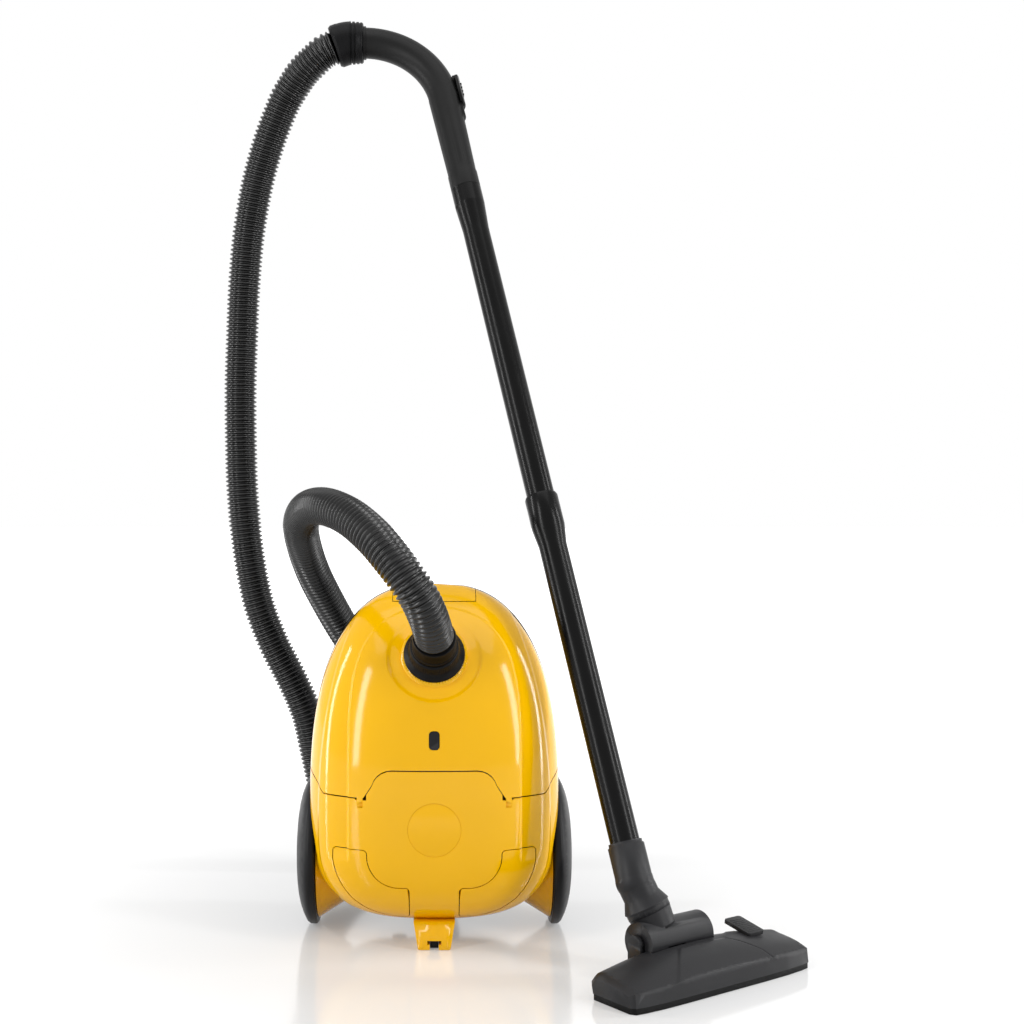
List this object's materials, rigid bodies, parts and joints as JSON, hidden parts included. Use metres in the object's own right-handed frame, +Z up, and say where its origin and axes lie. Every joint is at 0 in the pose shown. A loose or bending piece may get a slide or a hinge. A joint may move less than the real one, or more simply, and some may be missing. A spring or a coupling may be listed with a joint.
{
  "type": "cylinder vacuum cleaner",
  "caption": "Cylinder vacuum cleaner parked upright on its tail end, with corrugated hose, bent handle, two-piece wand and tilting floor head.",
  "frame": {"origin": "on the sole of the parking heel, below the parting plane between lid and base shell, centred across the canister", "axes": "+Z up from the floor, +X across the canister towards the wand's side, -Y towards the lid side"},
  "size_m": [0.6587, 0.5707, 1.0782],
  "materials": {
    "yellow": "gloss",
    "hose_black": "satin",
    "gloss_black": "gloss",
    "head_grey": "matte",
    "inner_grey": "matte",
    "wheel_grey": "satin",
    "rubber_black": "matte",
    "steel": "satin",
    "paper": "matte",
    "filter_foam": "matte",
    "filter_white": "matte",
    "window": "gloss",
    "red": "gloss",
    "lint_red": "matte",
    "bristle": "matte"
  },
  "bodies": {
    "canister": {"base_shell": "gloss_black", "rear_housing": "yellow", "lid_seal": "rubber_black", "lid_hinge_pins": "steel", "bag_plate": "paper", "bag_holder": "inner_grey", "dust_bag": "paper", "bulkhead": "inner_grey", "filter_frame": "inner_grey", "motor_filter": "filter_foam", "motor_housing": "inner_grey", "motor_seal": "rubber_black", "motor_mount": "inner_grey", "motor_cover": "inner_grey", "cover_screws": "steel", "reel_spindle": "inner_grey", "power_switch": "inner_grey", "power_pedal_spring": "steel", "rewind_pedal_spring": "steel", "blank_cap": "yellow", "exhaust_grille": "inner_grey", "exhaust_filter": "filter_white", "cord_outlet": "inner_grey", "left_wheel_pod": "yellow", "right_wheel_pod": "yellow", "wheel_axles": "steel", "hose_rear": "hose_black", "hose_cuff_top": "gloss_black"},
    "lid": {"lid": "yellow", "inlet_connector": "gloss_black", "indicator_window": "window", "indicator_spring": "steel", "latch_spring": "steel", "hose_front": "hose_black"},
    "latch": {"latch_tab": "yellow"},
    "lower_cuff": {"hose_cuff_lower": "gloss_black"},
    "indicator": {"indicator_flag": "red"},
    "power_pedal": {"power_pedal": "yellow"},
    "rewind_pedal": {"rewind_pedal": "yellow"},
    "left_wheel": {"left_wheel": "wheel_grey"},
    "right_wheel": {"right_wheel": "wheel_grey"},
    "caster": {"caster_fork": "inner_grey", "caster_axle": "steel"},
    "caster_wheel": {"caster_wheel": "wheel_grey"},
    "rotor": {"motor_rotor": "steel"},
    "reel": {"cord_reel": "inner_grey"},
    "wand": {"handle": "gloss_black", "wand_upper": "gloss_black", "wand_lower": "gloss_black", "neck_elbow": "head_grey"},
    "air_slider": {"air_slider": "gloss_black"},
    "tilt_barrel": {"tilt_barrel": "head_grey"},
    "floor_head": {"head_cover": "head_grey", "head_sole": "inner_grey", "roller_axles": "steel", "lint_strips": "lint_red"},
    "brushes": {"brush_frame": "inner_grey", "brush_strips": "bristle"},
    "head_pedal": {"head_pedal": "head_grey"},
    "head_rollers": {"head_rollers": "wheel_grey"}
  },
  "joints": [
    {"name": "lid_hinge", "type": "hinge", "parent": "canister", "child": "lid", "pos_m": [0, -0.1005, 0.16], "axis": [1, 0, 0], "range_deg": [0, 55]},
    {"name": "latch_slide", "type": "slide", "parent": "lid", "child": "latch", "axis": [0, 0, 1], "range_m": [0, 0.004], "stiffness_N_per_m": 800, "springref_m": -0.003, "deforming": ["latch_spring"]},
    {"name": "lower_cuff_swivel", "type": "hinge", "parent": "lid", "child": "lower_cuff", "pos_m": [0, -0.08, 0.317], "axis": [0, -0.866, 0.5], "continuous": true},
    {"name": "indicator_slide", "type": "slide", "parent": "lid", "child": "indicator", "axis": [0, 0.1711, 0.9853], "range_m": [0, 0.006], "stiffness_N_per_m": 20, "springref_m": -0.004, "deforming": ["indicator_spring"]},
    {"name": "power_pedal_press", "type": "slide", "parent": "canister", "child": "power_pedal", "axis": [0, 1, 0], "range_m": [0, 0.004], "stiffness_N_per_m": 1500, "springref_m": -0.003, "deforming": ["power_pedal_spring"]},
    {"name": "rewind_pedal_press", "type": "slide", "parent": "canister", "child": "rewind_pedal", "axis": [0, 1, 0], "range_m": [0, 0.004], "stiffness_N_per_m": 1500, "springref_m": -0.003, "deforming": ["rewind_pedal_spring"]},
    {"name": "left_wheel_spin", "type": "hinge", "parent": "canister", "child": "left_wheel", "pos_m": [-0.136, 0.03, 0.084], "axis": [1, 0, 0], "continuous": true},
    {"name": "right_wheel_spin", "type": "hinge", "parent": "canister", "child": "right_wheel", "pos_m": [0.136, 0.03, 0.084], "axis": [1, 0, 0], "continuous": true},
    {"name": "caster_swivel", "type": "hinge", "parent": "canister", "child": "caster", "pos_m": [0, 0.094, 0.3], "axis": [0, 1, 0], "continuous": true},
    {"name": "caster_wheel_spin", "type": "hinge", "parent": "caster", "child": "caster_wheel", "pos_m": [0, 0.106, 0.293], "axis": [1, 0, 0], "continuous": true},
    {"name": "motor_spin", "type": "hinge", "parent": "canister", "child": "rotor", "pos_m": [0.049, 0.014, 0.11], "axis": [0, 0, 1], "continuous": true},
    {"name": "reel_spin", "type": "hinge", "parent": "canister", "child": "reel", "pos_m": [-0.064, 0.015, 0.107], "axis": [1, 0, 0], "continuous": true},
    {"name": "handle_swivel", "type": "hinge", "parent": "canister", "child": "wand", "pos_m": [-0.08784, 0.15502, 1.05215], "axis": [1, 0, 0], "continuous": true},
    {"name": "air_slide", "type": "slide", "parent": "wand", "child": "air_slider", "axis": [0.2028, -0.3081, -0.9295], "range_m": [0, 0.014]},
    {"name": "neck_swivel", "type": "hinge", "parent": "wand", "child": "tilt_barrel", "pos_m": [0.23004, -0.17351, 0.04], "axis": [0.4204, -0.1814, -0.889], "range_deg": [-45, 45]},
    {"name": "head_tilt", "type": "hinge", "parent": "tilt_barrel", "child": "floor_head", "pos_m": [0.239, -0.16713, 0.04], "axis": [0.8141, 0.5807, 0], "range_deg": [-40, 55]},
    {"name": "brush_lift", "type": "slide", "parent": "floor_head", "child": "brushes", "axis": [0, 0, 1], "range_m": [-0.004, 0]},
    {"name": "head_pedal_tilt", "type": "hinge", "parent": "floor_head", "child": "head_pedal", "pos_m": [0.32295, -0.12812, 0.024], "axis": [0.8141, 0.5807, 0], "range_deg": [-12, 0]},
    {"name": "roller_spin", "type": "hinge", "parent": "floor_head", "child": "head_rollers", "pos_m": [0.25237, -0.16348, 0.0073], "axis": [0.8141, 0.5807, 0], "continuous": true}
  ],
  "couplings": [
    {"joint": "head_pedal_tilt", "follows": "brush_lift", "rad_per_m": 52.35}
  ]
}
